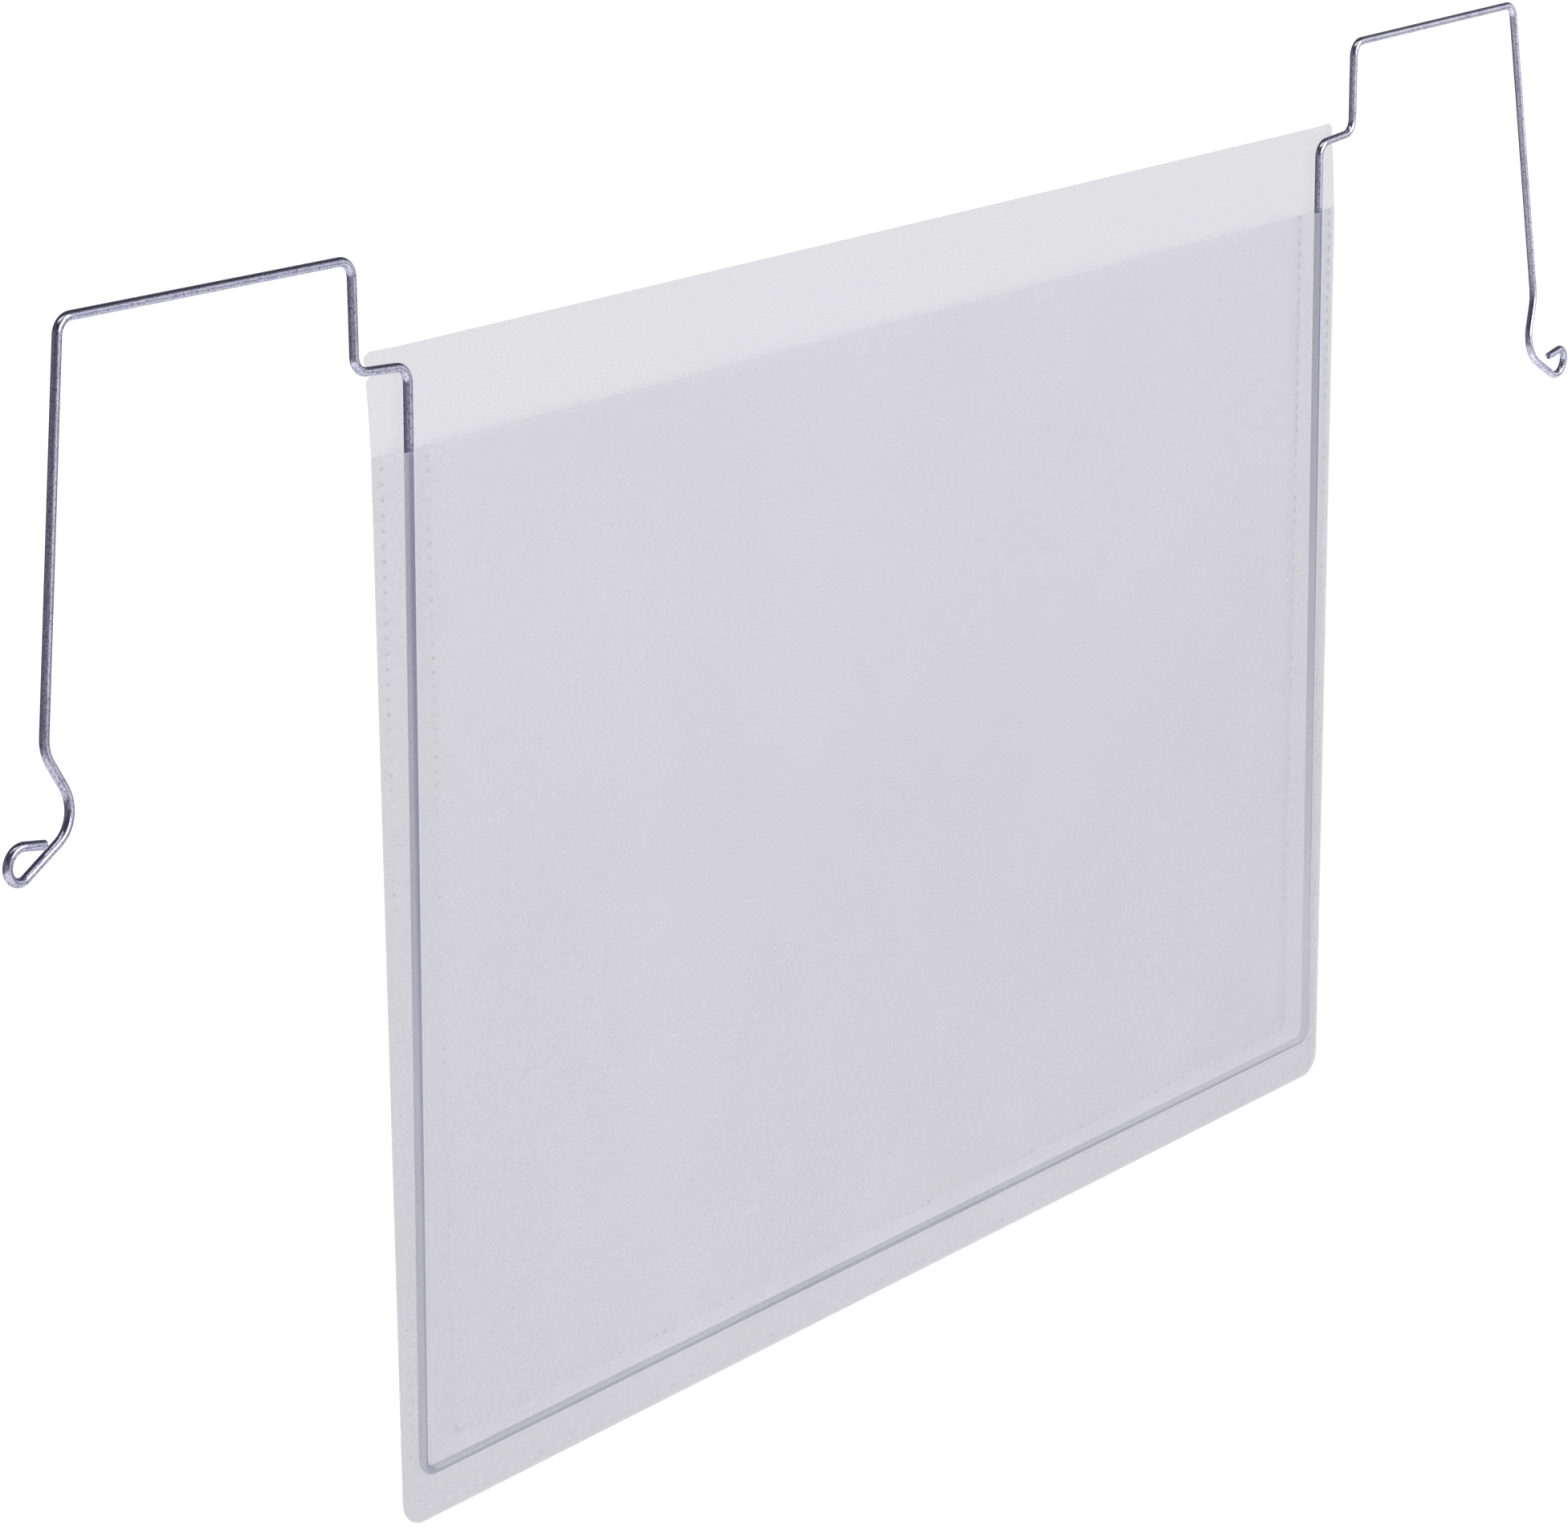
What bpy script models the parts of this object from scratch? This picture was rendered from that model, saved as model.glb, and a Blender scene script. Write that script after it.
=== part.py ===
# Hanging sign holder: a welded film pocket that hangs on one bent wire.
# Metres. +X runs along the pocket, +Z is up and -Y faces the reader of the sign.
# The origin lies on the line that the two arms of the wire hang by.

import math

import bmesh
import bpy
from mathutils import Matrix, Vector

# Films
FILM_WIDTH = 0.335
BACK_FILM_HEIGHT = 0.232
TOP_BAND = 0.0195  # the strip of back film that stands above the front film
FILM_THICKNESS = 0.0003
FILM_CORNER_RADIUS = 0.0055
TOP_CUT_WIDTH = 0.0015  # the small cut at each top corner of the back film
TOP_CUT_HEIGHT = 0.0009
TOUCH_GAP = 0.0003  # between pieces that touch on the real object
POCKET_GAP = 0.0008  # room for the sign between the two films

# Welds
INNER_SEAM_INSET = 0.0150  # from the film's edge to the middle of the seam
OUTER_SEAM_INSET = 0.0023
SEAM_WIDTH = 0.0012
SEAM_CORNER_RADIUS = 0.0015
PANEL_STEP = 0.0020  # how far inside the seam the front film reaches the pocket's depth
WELD_PITCH = 0.0030  # the marks that the welding bar pressed along both seams
WELD_LENGTH = 0.0020
WELD_WIDTH = 0.0008
WELD_DEPTH = 0.0001
CUT_OVERRUN = 0.0005

# Wire
WIRE_DIAMETER = 0.0018
WIRE_SIDE_INSET = 0.0057  # from the film's side edge, at the bottom of the pocket
WIRE_BOTTOM_INSET = 0.0099
WIRE_SETBACK = 0.0009  # how far the wire leans back between the jog and the bottom of the pocket
BOTTOM_BEND_RADIUS = 0.0022  # to the inner side of the wire, as every bend radius here
BEND_RADIUS = 0.0024
LEG_BEND_RADIUS = 0.0070
KINK_RADIUS = 0.0062
CURL_RADIUS = 0.00235

# Hanger, the same on both sides
JOG_INSET = 0.0091
JOG_DEPTH = 0.0037  # below the top edge of the back film
JOG_RUN = 0.0144
JOG_LIFT = 0.0010
RISE = 0.0208
ARM_RUN = 0.0736
ARM_LIFT = 0.0009
LEG_DROP = 0.0733
LEG_SPLAY = 0.0106
LEG_FORWARD = 0.0026
KINK_DROP = 0.0127
KINK_IN = 0.0064
KINK_FORWARD = 0.0018
HOOK_RUN = 0.0155
HOOK_TAIL = 0.0049
CURL_FORWARD = 0.0010  # how far the curl winds forward, so that its tip clears the run
TIP_ROUNDING = 0.0004
HOOK_SLOPE = math.radians(29)  # of the hook's run, below level
CURL_TURN = math.radians(219)

# Notch in each side edge of the back film, where the wire crosses it
NOTCH_CLEARANCE = 0.0006  # below the wire
NOTCH_OVERLAP = 0.0008  # how far the tab above the notch reaches down behind the wire
NOTCH_DEPTH = 0.0026
NOTCH_ROUND_SHARE = 0.45  # of the notch's height, for the rounding at its closed end
NOTCH_LOWER_RADIUS = 0.0016
NOTCH_UPPER_RADIUS = 0.0004

FLARE = 0.0012  # how far the back film's top corners spring back behind the wire

# Facets
BEND_STEP = math.radians(15)
TIP_STEPS = 3
CORNER_STEPS = 6
TENT_STEPS = 4
LEAST_ARC = math.radians(8)  # of a film round the wire, to either side, where it hardly bulges
FLARE_STEPS = 5
WIRE_RING_RESOLUTION = 3

# Sizes worked out from those above
wireRadius = WIRE_DIAMETER / 2
halfWidth = FILM_WIDTH / 2
armHeight = RISE + JOG_LIFT + ARM_LIFT / 2 - JOG_DEPTH  # of the arm's middle, above the film
filmTop = wireRadius - armHeight
filmBottom = filmTop - BACK_FILM_HEIGHT
frontTop = filmTop - TOP_BAND
backFilmFront = wireRadius + TOUCH_GAP
seamLevel = backFilmFront - TOUCH_GAP  # the front film's rear side, where it is welded
pocketLevel = backFilmFront - POCKET_GAP


def clearScene():
    for item in list(bpy.data.objects):
        bpy.data.objects.remove(item, do_unlink=True)


def makeMaterial(name, color, roughness, metallic, alpha):
    material = bpy.data.materials.new(name)
    material.use_nodes = True
    shader = material.node_tree.nodes["Principled BSDF"]
    shader.inputs["Base Color"].default_value = (*color, 1.0)
    shader.inputs["Roughness"].default_value = roughness
    shader.inputs["Metallic"].default_value = metallic
    shader.inputs["Alpha"].default_value = alpha
    material.diffuse_color = (*color, alpha)
    return material


def addObject(name, data, material):
    item = bpy.data.objects.new(name, data)
    bpy.context.scene.collection.objects.link(item)
    data.materials.append(material)
    return item


# The arc that rounds one corner of a line, from tangent point to tangent point.
def cornerArc(before, corner, after, radius, steps=None):
    back = (before - corner).normalized()
    ahead = (after - corner).normalized()
    half = back.angle(ahead) / 2
    if radius == 0:
        return [corner]
    centre = corner + (back + ahead).normalized() * (radius / math.sin(half))
    first = corner + back * (radius / math.tan(half)) - centre
    last = corner + ahead * (radius / math.tan(half)) - centre
    turn = math.pi - 2 * half
    count = steps or max(2, round(turn / BEND_STEP))
    axis = first.cross(last).normalized()
    return [centre + Matrix.Rotation(turn * i / count, 3, axis) @ first for i in range(count + 1)]


# An open line with its inner corners rounded.
def roundedLine(points, radii, steps=None):
    line = [points[0]]
    for before, corner, after, radius in zip(points, points[1:], points[2:], radii):
        line += cornerArc(before, corner, after, radius, steps)
    return line + [points[-1]]


def mirrored(point):
    return Vector((-point.x, point.y, point.z))


# The corners of the right half of the wire, from the jog up the hanger to the kink.
def hangerCorners():
    jogInner = Vector((halfWidth - JOG_INSET, 0, filmTop - JOG_DEPTH))
    jogOuter = jogInner + Vector((JOG_RUN, 0, JOG_LIFT))
    riseTop = jogOuter + Vector((0, 0, RISE))
    armEnd = riseTop + Vector((ARM_RUN, 0, ARM_LIFT))
    legEnd = armEnd + Vector((LEG_SPLAY, -LEG_FORWARD, -LEG_DROP))
    kink = legEnd + Vector((-KINK_IN, -KINK_FORWARD, -KINK_DROP))
    return [jogInner, jogOuter, riseTop, armEnd, legEnd, kink]


# The curl at the end of the hook, wound up and in, and drifting forward to its tip.
def hookCurl(start):
    radius = CURL_RADIUS + wireRadius
    along = Vector((math.cos(HOOK_SLOPE), 0, -math.sin(HOOK_SLOPE)))
    inward = Vector((math.sin(HOOK_SLOPE), 0, math.cos(HOOK_SLOPE)))
    centre = start + inward * radius
    count = round(CURL_TURN / BEND_STEP)
    forward = Vector((0, -CURL_FORWARD, 0))
    points = []
    for i in range(count + 1):
        turned = Matrix.Rotation(-CURL_TURN * i / count, 3, "Y") @ (start - centre)
        points.append(centre + turned + forward * (i / count))
    heading = Matrix.Rotation(-CURL_TURN, 3, "Y") @ along
    return points, heading


def wireRightHalf():
    corners = hangerCorners()
    bottomMiddle = Vector((0, WIRE_SETBACK, filmBottom + WIRE_BOTTOM_INSET))
    bottomCorner = bottomMiddle + Vector((halfWidth - WIRE_SIDE_INSET, 0, 0))
    runDirection = Vector((math.cos(HOOK_SLOPE), 0, -math.sin(HOOK_SLOPE)))
    curlStart = corners[-1] + runDirection * HOOK_RUN
    insides = [BOTTOM_BEND_RADIUS, BEND_RADIUS, BEND_RADIUS, BEND_RADIUS, BEND_RADIUS]
    insides += [LEG_BEND_RADIUS, KINK_RADIUS]
    radii = [inside + wireRadius for inside in insides]
    line = roundedLine([bottomMiddle, bottomCorner] + corners + [curlStart], radii)
    curl, heading = hookCurl(curlStart)
    return line[:-1] + curl, curl[-1] + heading * HOOK_TAIL, heading


# The rounded end of the wire, as pairs of a point and the share of the wire's radius there.
def roundedTip(tip, heading):
    pairs = []
    for i in range(TIP_STEPS + 1):
        angle = math.pi / 2 * i / TIP_STEPS
        point = tip - heading * TIP_ROUNDING * (1 - math.sin(angle))
        pairs.append((point, (wireRadius - TIP_ROUNDING * (1 - math.cos(angle))) / wireRadius))
    return pairs


def makeWireFrame(material):
    half, tip, heading = wireRightHalf()
    rightSide = [(point, 1.0) for point in half[1:]] + roundedTip(tip, heading)
    leftSide = [(mirrored(point), share) for point, share in reversed(rightSide)]
    curve = bpy.data.curves.new("wire_frame", "CURVE")
    curve.dimensions = "3D"
    curve.bevel_depth = wireRadius
    curve.bevel_resolution = WIRE_RING_RESOLUTION
    curve.use_fill_caps = True
    spline = curve.splines.new("POLY")
    pairs = leftSide + rightSide
    spline.points.add(len(pairs) - 1)
    for target, (point, share) in zip(spline.points, pairs):
        target.co = (*point, 1.0)
        target.radius = share
    return addObject("wire_frame", curve, material)


# True where the first face of a film points towards the reader.
def frontFaces(mesh):
    return mesh.polygons[0].normal.y < 0


def thicken(item, forward):
    shell = item.modifiers.new("film", "SOLIDIFY")
    shell.thickness = FILM_THICKNESS
    shell.offset = 1.0 if forward else -1.0
    shell.use_even_offset = True


def cutWith(item, cutter):
    cutter.hide_render = True
    cutter.display_type = "WIRE"
    cut = item.modifiers.new(cutter.name, "BOOLEAN")
    cut.operation = "DIFFERENCE"
    cut.solver = "EXACT"
    cut.object = cutter


# A line round three sides of a film, from its top right to its top left.
def pocketLine(top, topInset, sideInset, bottomInset, radius):
    right = halfWidth - sideInset
    bottom = filmBottom + bottomInset
    corners = [
        Vector((halfWidth - topInset, 0, top)),
        Vector((right, 0, bottom)),
        Vector((-right, 0, bottom)),
        Vector((topInset - halfWidth, 0, top)),
    ]
    line = roundedLine(corners, [radius, radius], CORNER_STEPS)
    # The band above the front film curves, so its lines have more points there.
    rows = []
    for i in range(1, FLARE_STEPS + 1):
        height = filmTop - TOP_BAND * i / FLARE_STEPS
        if height < top:
            rows.append(line[0].lerp(line[1], (top - height) / (top - line[1].z)))
    return [line[0]] + rows + line[1:-1] + [mirrored(point) for point in reversed(rows)] + [line[-1]]


def evenLine(top, inset, radius, level):
    return atLevel(pocketLine(top, inset, inset, inset, radius), level)


def atLevel(line, level):
    return [Vector((point.x, level, point.z)) for point in line]


# The wire's middle line inside the pocket. It lies in front of the films' seams at the mouth
# and between the films at the bottom.
def wireInPocket(top):
    jog, bottom = filmTop - JOG_DEPTH, filmBottom + WIRE_BOTTOM_INSET
    slant = (JOG_INSET - WIRE_SIDE_INSET) / (jog - bottom)
    inset = WIRE_SIDE_INSET + slant * (top - bottom)
    line = pocketLine(top, inset, WIRE_SIDE_INSET, WIRE_BOTTOM_INSET, BOTTOM_BEND_RADIUS + wireRadius)
    return [Vector((point.x, WIRE_SETBACK * (jog - point.z) / (jog - bottom), point.z)) for point in line]


# Where a film leaves and meets the wire: the arc between its two straight stretches to the seams.
# The side is -1 in front of the wire and 1 behind it.
def tentArc(outerSeam, wire, innerSeam, side):
    reach = wireRadius + TOUCH_GAP
    beyond = (wire.y - outerSeam.y) * side  # how far the seams lie on the wire's other side
    stretches = []
    for seam in (outerSeam, innerSeam):
        across = Vector((seam.x - wire.x, 0, seam.z - wire.z))
        angle = math.acos(reach / math.hypot(beyond, across.length)) - math.atan2(beyond, across.length)
        stretches.append((across.normalized(), min(angle, math.pi / 2 - LEAST_ARC)))
    (outward, outerAngle), (inward, innerAngle) = stretches
    points = []
    for i in range(TENT_STEPS + 1):
        angle = math.pi - outerAngle + (innerAngle - math.pi + outerAngle) * i / TENT_STEPS
        sideways = reach * math.cos(angle)
        direction = inward if sideways > 0 else outward
        points.append(wire + direction * abs(sideways) + Vector((0, side * reach * math.sin(angle), 0)))
    return points


# The side of a film that faces the wire, as lines from its edge in to its flat panel.
def filmLines(top, level, side):
    outerInset = OUTER_SEAM_INSET + SEAM_WIDTH / 2
    innerInset = INNER_SEAM_INSET - SEAM_WIDTH / 2
    edge = evenLine(top, 0, FILM_CORNER_RADIUS, level)
    outerSeam = evenLine(top, outerInset, FILM_CORNER_RADIUS - outerInset, level)
    innerSeam = evenLine(top, innerInset, SEAM_CORNER_RADIUS + SEAM_WIDTH, level)
    tents = [tentArc(*places, side) for places in zip(outerSeam, wireInPocket(top), innerSeam)]
    return [edge, outerSeam] + [list(line) for line in zip(*tents)] + [innerSeam]


def sheetMesh(name, lines):
    mesh = bpy.data.meshes.new(name)
    sheet = bmesh.new()
    rows = [[sheet.verts.new(point) for point in line] for line in lines]
    for outer, inner in zip(rows, rows[1:]):
        for i in range(len(outer) - 1):
            sheet.faces.new((outer[i], inner[i], inner[i + 1], outer[i + 1]))
    sheet.faces.new(rows[-1])
    bmesh.ops.recalc_face_normals(sheet, faces=sheet.faces[:])
    sheet.to_mesh(mesh)
    sheet.free()
    return mesh


# The top corners of the back film curve away behind the wire, which presses the film back.
def flareAt(point):
    outboard = max(0, abs(point.x) - halfWidth + JOG_INSET) / JOG_INSET
    height = max(0, point.z - frontTop) / TOP_BAND
    return FLARE * outboard ** 2 * height ** 1.5


# The outlines that are cut from the back film's right side: the wire's notch and the corner.
def cornerCuts():
    wireAtEdge = filmTop - JOG_DEPTH + JOG_LIFT * JOG_INSET / JOG_RUN
    notchTop = wireAtEdge + wireRadius - NOTCH_OVERLAP
    notchBottom = wireAtEdge - wireRadius - NOTCH_CLEARANCE
    notchInner = halfWidth - NOTCH_DEPTH
    rounding = (notchTop - notchBottom) * NOTCH_ROUND_SHARE
    corners = [
        (halfWidth, filmTop, 0),
        (halfWidth, notchTop, NOTCH_UPPER_RADIUS),
        (notchInner, notchTop, rounding),
        (notchInner, notchBottom, rounding),
        (halfWidth, notchBottom, NOTCH_LOWER_RADIUS),
        (halfWidth, filmBottom, 0),
    ]
    points = [Vector((x, 0, z)) for x, z, radius in corners]
    notch = roundedLine(points, [radius for x, z, radius in corners[1:-1]])[1:-1]
    outside = halfWidth + CUT_OVERRUN
    notch += [Vector((outside, 0, notch[-1].z)), Vector((outside, 0, notch[0].z))]
    # The slanted cut is drawn past the film on both sides by its own width and height.
    across, down = TOP_CUT_WIDTH, TOP_CUT_HEIGHT
    corner = [
        Vector((halfWidth - across * 2, 0, filmTop + down)),
        Vector((halfWidth + across, 0, filmTop - down * 2)),
        Vector((halfWidth + across, 0, filmTop + down)),
    ]
    return [notch, corner]


def makeCornerCutter(material):
    mesh = bpy.data.meshes.new("corner_cutter")
    blocks = bmesh.new()
    near = backFilmFront - CUT_OVERRUN
    far = backFilmFront + FLARE + FILM_THICKNESS + CUT_OVERRUN
    for outline in cornerCuts():
        for points in (outline, [mirrored(point) for point in outline]):
            face = blocks.faces.new([blocks.verts.new((point.x, near, point.z)) for point in points])
            grown = bmesh.ops.extrude_face_region(blocks, geom=[face])["geom"]
            moved = [item for item in grown if isinstance(item, bmesh.types.BMVert)]
            bmesh.ops.translate(blocks, vec=(0, far - near, 0), verts=moved)
    bmesh.ops.recalc_face_normals(blocks, faces=blocks.faces[:])
    blocks.to_mesh(mesh)
    blocks.free()
    return addObject("corner_cutter", mesh, material)


def makeBackSheet(material):
    lines = filmLines(filmTop, backFilmFront, 1)
    for point in [point for line in lines for point in line]:
        point.y += flareAt(point)
    mesh = sheetMesh("back_sheet", lines)
    item = addObject("back_sheet", mesh, material)
    thicken(item, forward=not frontFaces(mesh))
    cutWith(item, makeCornerCutter(material))
    return item


# The straight runs of both seams, along their middles, clear of the seams' rounded corners.
def seamRuns():
    runs = []
    for inset in (OUTER_SEAM_INSET, INNER_SEAM_INSET):
        side, bottom = halfWidth - inset, filmBottom + inset
        clear = max(FILM_CORNER_RADIUS - inset, SEAM_CORNER_RADIUS) + SEAM_WIDTH
        for x in (side, -side):
            runs.append((Vector((x, seamLevel, bottom + clear)), Vector((x, seamLevel, frontTop))))
        runs.append((Vector((clear - side, seamLevel, bottom)), Vector((side - clear, seamLevel, bottom))))
    return runs


# One cutter for every weld mark: a row of small blocks along each run, sunk in the film's front.
def makeWeldCutter(material):
    mesh = bpy.data.meshes.new("weld_cutter")
    blocks = bmesh.new()
    front = seamLevel - FILM_THICKNESS
    thickness = WELD_DEPTH + CUT_OVERRUN
    for start, end in seamRuns():
        along = (end - start).normalized()
        size = Vector((WELD_WIDTH, thickness, WELD_LENGTH))
        if abs(along.x) > abs(along.z):
            size = Vector((WELD_LENGTH, thickness, WELD_WIDTH))
        count = int((end - start).length / WELD_PITCH)
        for i in range(count):
            place = (start + end) / 2 + along * WELD_PITCH * (i - (count - 1) / 2)
            place.y = front + WELD_DEPTH - thickness / 2
            matrix = Matrix.Translation(place) @ Matrix.Diagonal(size).to_4x4()
            bmesh.ops.create_cube(blocks, size=1, matrix=matrix)
    blocks.to_mesh(mesh)
    blocks.free()
    return addObject("weld_cutter", mesh, material)


def makeFrontSheet(material):
    lines = filmLines(frontTop, seamLevel, -1)
    inset = INNER_SEAM_INSET + SEAM_WIDTH / 2
    lines.append(evenLine(frontTop, inset, SEAM_CORNER_RADIUS, seamLevel))
    lines.append(evenLine(frontTop, inset + PANEL_STEP, SEAM_CORNER_RADIUS, pocketLevel))
    mesh = sheetMesh("front_sheet", lines)
    item = addObject("front_sheet", mesh, material)
    thicken(item, forward=frontFaces(mesh))
    cutWith(item, makeWeldCutter(material))
    return item


def build():
    clearScene()
    zinc = makeMaterial("bright wire", (0.56, 0.55, 0.60), 0.28, 1.0, 1.0)
    clearFilm = makeMaterial("back film", (0.74, 0.73, 0.77), 0.45, 0.0, 0.55)
    frostedFilm = makeMaterial("front film", (0.70, 0.69, 0.73), 0.45, 0.0, 0.55)
    makeWireFrame(zinc)
    makeBackSheet(clearFilm)
    makeFrontSheet(frostedFilm)


build()
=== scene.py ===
# Hanging sign holder: a welded pocket of frosted film on one bent wire.
# Metres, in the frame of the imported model. -Y faces the reader of the sign.

import math

import bmesh
import bpy
from mathutils import Matrix, Vector, noise


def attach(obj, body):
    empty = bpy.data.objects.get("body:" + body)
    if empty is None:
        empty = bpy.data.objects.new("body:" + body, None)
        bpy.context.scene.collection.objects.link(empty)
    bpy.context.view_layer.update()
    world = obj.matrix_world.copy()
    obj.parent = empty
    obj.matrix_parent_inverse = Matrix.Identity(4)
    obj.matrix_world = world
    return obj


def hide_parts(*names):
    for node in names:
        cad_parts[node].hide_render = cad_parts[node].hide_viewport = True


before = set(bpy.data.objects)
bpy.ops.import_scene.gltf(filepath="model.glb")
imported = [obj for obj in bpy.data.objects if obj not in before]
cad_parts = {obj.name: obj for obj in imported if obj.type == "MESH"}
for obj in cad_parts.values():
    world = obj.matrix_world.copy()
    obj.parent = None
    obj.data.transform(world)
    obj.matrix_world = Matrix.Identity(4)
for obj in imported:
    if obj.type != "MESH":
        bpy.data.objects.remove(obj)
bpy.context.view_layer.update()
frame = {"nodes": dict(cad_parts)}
print("frame loaded:", ", ".join(frame["nodes"]))


# Lines and meshes

def cornerArc(before, corner, after, radius, steps):
    back = (before - corner).normalized()
    ahead = (after - corner).normalized()
    half = back.angle(ahead) / 2
    if radius == 0 or steps == 0:
        return [corner]
    centre = corner + (back + ahead).normalized() * (radius / math.sin(half))
    first = corner + back * (radius / math.tan(half)) - centre
    last = corner + ahead * (radius / math.tan(half)) - centre
    turn = math.pi - 2 * half
    axis = first.cross(last).normalized()
    return [centre + Matrix.Rotation(turn * i / steps, 3, axis) @ first for i in range(steps + 1)]


def divided(start, end, count):
    return [start.lerp(end, i / count) for i in range(1, count)]


def mirrored(point):
    return Vector((-point.x, point.y, point.z))


def addPiece(name, mesh, node):
    piece = bpy.data.objects.new(name, mesh)
    bpy.context.scene.collection.objects.link(piece)
    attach(piece, "root")
    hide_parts(node)
    return piece


def meshFrom(name, shape, smooth=True):
    mesh = bpy.data.meshes.new(name)
    bmesh.ops.recalc_face_normals(shape, faces=shape.faces[:])
    for face in shape.faces:
        face.smooth = smooth
    shape.to_mesh(mesh)
    shape.free()
    return mesh


# Shader helpers

def newMaterial(name):
    material = bpy.data.materials.new(name)
    material.use_nodes = True
    return material, material.node_tree, material.node_tree.nodes["Principled BSDF"]


def addNode(tree, kind, **values):
    node = tree.nodes.new(kind)
    for key, value in values.items():
        if key in node.inputs:
            node.inputs[key].default_value = value
        else:
            setattr(node, key, value)
    return node


def newGroup(name, inputs, outputs):
    group = bpy.data.node_groups.new(name, "ShaderNodeTree")
    for title, kind, value in inputs:
        socket = group.interface.new_socket(name=title, in_out="INPUT", socket_type=kind)
        if value is not None:
            socket.default_value = value
    for title, kind in outputs:
        group.interface.new_socket(name=title, in_out="OUTPUT", socket_type=kind)
    return group, group.nodes.new("NodeGroupInput"), group.nodes.new("NodeGroupOutput")


def placeGroup(tree, group, **values):
    node = tree.nodes.new("ShaderNodeGroup")
    node.node_tree = group
    for key, value in values.items():
        node.inputs[key].default_value = value
    return node


def mapped(tree, value, fromMin, fromMax, toMin, toMax, smooth=False):
    node = addNode(tree, "ShaderNodeMapRange")
    node.interpolation_type = "SMOOTHSTEP" if smooth else "LINEAR"
    for key, number in zip(("From Min", "From Max", "To Min", "To Max"), (fromMin, fromMax, toMin, toMax)):
        node.inputs[key].default_value = number
    tree.links.new(value, node.inputs["Value"])
    return node.outputs["Result"]


def maths(tree, operation, first, second=None, clamp=False):
    node = addNode(tree, "ShaderNodeMath", operation=operation)
    node.use_clamp = clamp
    for socket, value in zip(node.inputs, (first, second)):
        if value is None:
            continue
        if isinstance(value, (int, float)):
            socket.default_value = value
        else:
            tree.links.new(value, socket)
    return node.outputs[0]


def mixedColour(tree, factor, first, second):
    node = addNode(tree, "ShaderNodeMix", data_type="RGBA")
    tree.links.new(factor, node.inputs["Factor"])
    for key, value in (("A", first), ("B", second)):
        socket = [s for s in node.inputs if s.name == key and s.type == "RGBA"][0]
        if isinstance(value, tuple):
            socket.default_value = (*value, 1.0)
        else:
            tree.links.new(value, socket)
    return [s for s in node.outputs if s.type == "RGBA"][0]


# Grain, clouds and handling marks of the plastic film, the same for both sheets
def makeFilmGroup():
    group, given, out = newGroup(
        "film surface",
        [("Vector", "NodeSocketVector", None), ("Grain scale", "NodeSocketFloat", 2400.0),
         ("Cloud scale", "NodeSocketFloat", 18.0), ("Mark scale", "NodeSocketFloat", 70.0)],
        [("Grain", "NodeSocketFloat"), ("Clouds", "NodeSocketFloat"), ("Marks", "NodeSocketFloat")],
    )
    grain = addNode(group, "ShaderNodeTexNoise", Detail=3.0, Roughness=0.65)
    clouds = addNode(group, "ShaderNodeTexNoise", Detail=4.0, Roughness=0.5)
    stretch = addNode(group, "ShaderNodeMapping")
    stretch.inputs["Rotation"].default_value = (0, math.radians(24), 0)
    stretch.inputs["Scale"].default_value = (0.12, 1.0, 1.0)
    marks = addNode(group, "ShaderNodeTexNoise", Detail=5.0, Roughness=0.7)
    for texture, key in ((grain, "Grain scale"), (clouds, "Cloud scale"), (marks, "Mark scale")):
        group.links.new(given.outputs[key], texture.inputs["Scale"])
    group.links.new(given.outputs["Vector"], grain.inputs["Vector"])
    group.links.new(given.outputs["Vector"], clouds.inputs["Vector"])
    group.links.new(given.outputs["Vector"], stretch.inputs["Vector"])
    group.links.new(stretch.outputs["Vector"], marks.inputs["Vector"])
    group.links.new(grain.outputs["Fac"], out.inputs["Grain"])
    group.links.new(mapped(group, clouds.outputs["Fac"], 0.3, 0.7, 0.0, 1.0, True), out.inputs["Clouds"])
    group.links.new(mapped(group, marks.outputs["Fac"], 0.58, 0.74, 0.0, 1.0, True), out.inputs["Marks"])
    return group


filmGroup = makeFilmGroup()


# The wire: one piece, bent from the middle of the pocket's bottom out to both hooks

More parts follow.
